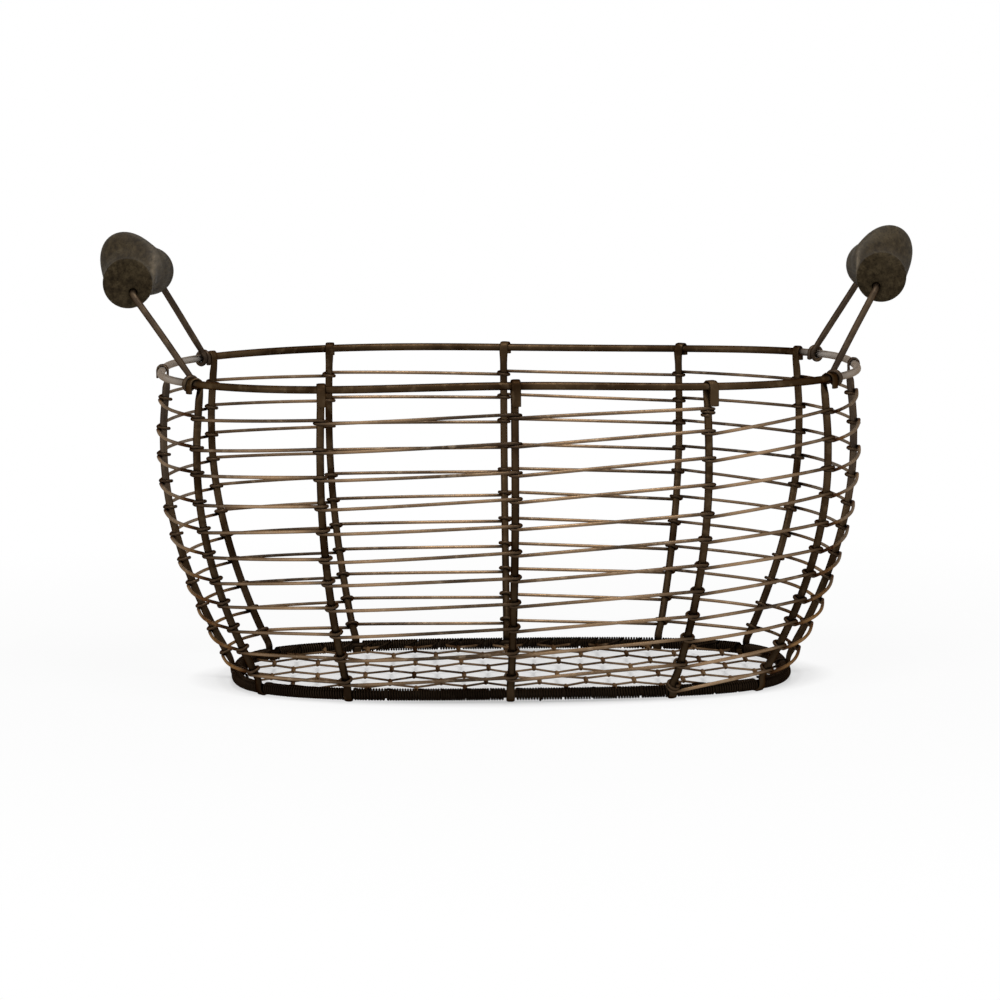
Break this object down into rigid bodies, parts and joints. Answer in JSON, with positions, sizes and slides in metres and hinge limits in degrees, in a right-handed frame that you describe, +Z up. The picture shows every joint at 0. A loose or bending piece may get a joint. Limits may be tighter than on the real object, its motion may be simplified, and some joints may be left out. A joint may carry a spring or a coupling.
{
  "type": "wire bread basket",
  "caption": "Open oblong wire basket with ribs, rings of thin wire and a netting base, and an arched wooden grip on a wire handle at each end.",
  "frame": {"origin": "middle of the basket on the surface it stands on", "axes": "+X along the basket toward the right handle, -Y toward the front, +Z up"},
  "size_m": [0.4238, 0.257, 0.2353],
  "materials": {
    "frame_wire": "dark bronze lacquer, satin",
    "base_wire": "dark brown lacquer, worn",
    "thin_wire": "brown lacquer over bright wire",
    "netting_wire": "brown lacquer over bright wire",
    "dark_wood": "dark stained wood, worn satin"
  },
  "bodies": {
    "basket": {"top_rim": "frame_wire", "base_ring": "base_wire", "rib_01": "frame_wire", "rib_02": "frame_wire", "rib_03": "frame_wire", "rib_04": "frame_wire", "rib_05": "frame_wire", "rib_06": "frame_wire", "rib_07": "frame_wire", "rib_08": "frame_wire", "rib_09": "frame_wire", "rib_10": "frame_wire", "rib_11": "frame_wire", "rib_12": "frame_wire", "row_wire_01": "thin_wire", "row_wire_02": "thin_wire", "row_wire_03": "thin_wire", "row_wire_04": "thin_wire", "row_wire_05": "thin_wire", "row_wire_06": "thin_wire", "row_wire_07": "thin_wire", "row_wire_08": "thin_wire", "row_wire_09": "thin_wire", "row_wire_10": "thin_wire", "row_wire_11": "thin_wire", "base_net": "netting_wire", "left_handle_wire": "frame_wire", "right_handle_wire": "frame_wire"},
    "left_grip_body": {"left_grip": "dark_wood"},
    "right_grip_body": {"right_grip": "dark_wood"}
  },
  "joints": [
    {"name": "left_grip_turn", "type": "hinge", "parent": "basket", "child": "left_grip_body", "pos_m": [-0.1905, 0, 0.2086], "axis": [0.0514, 0.9987, 0], "continuous": true},
    {"name": "right_grip_turn", "type": "hinge", "parent": "basket", "child": "right_grip_body", "pos_m": [0.1905, 0, 0.2086], "axis": [0.0514, 0.9987, 0], "continuous": true}
  ]
}
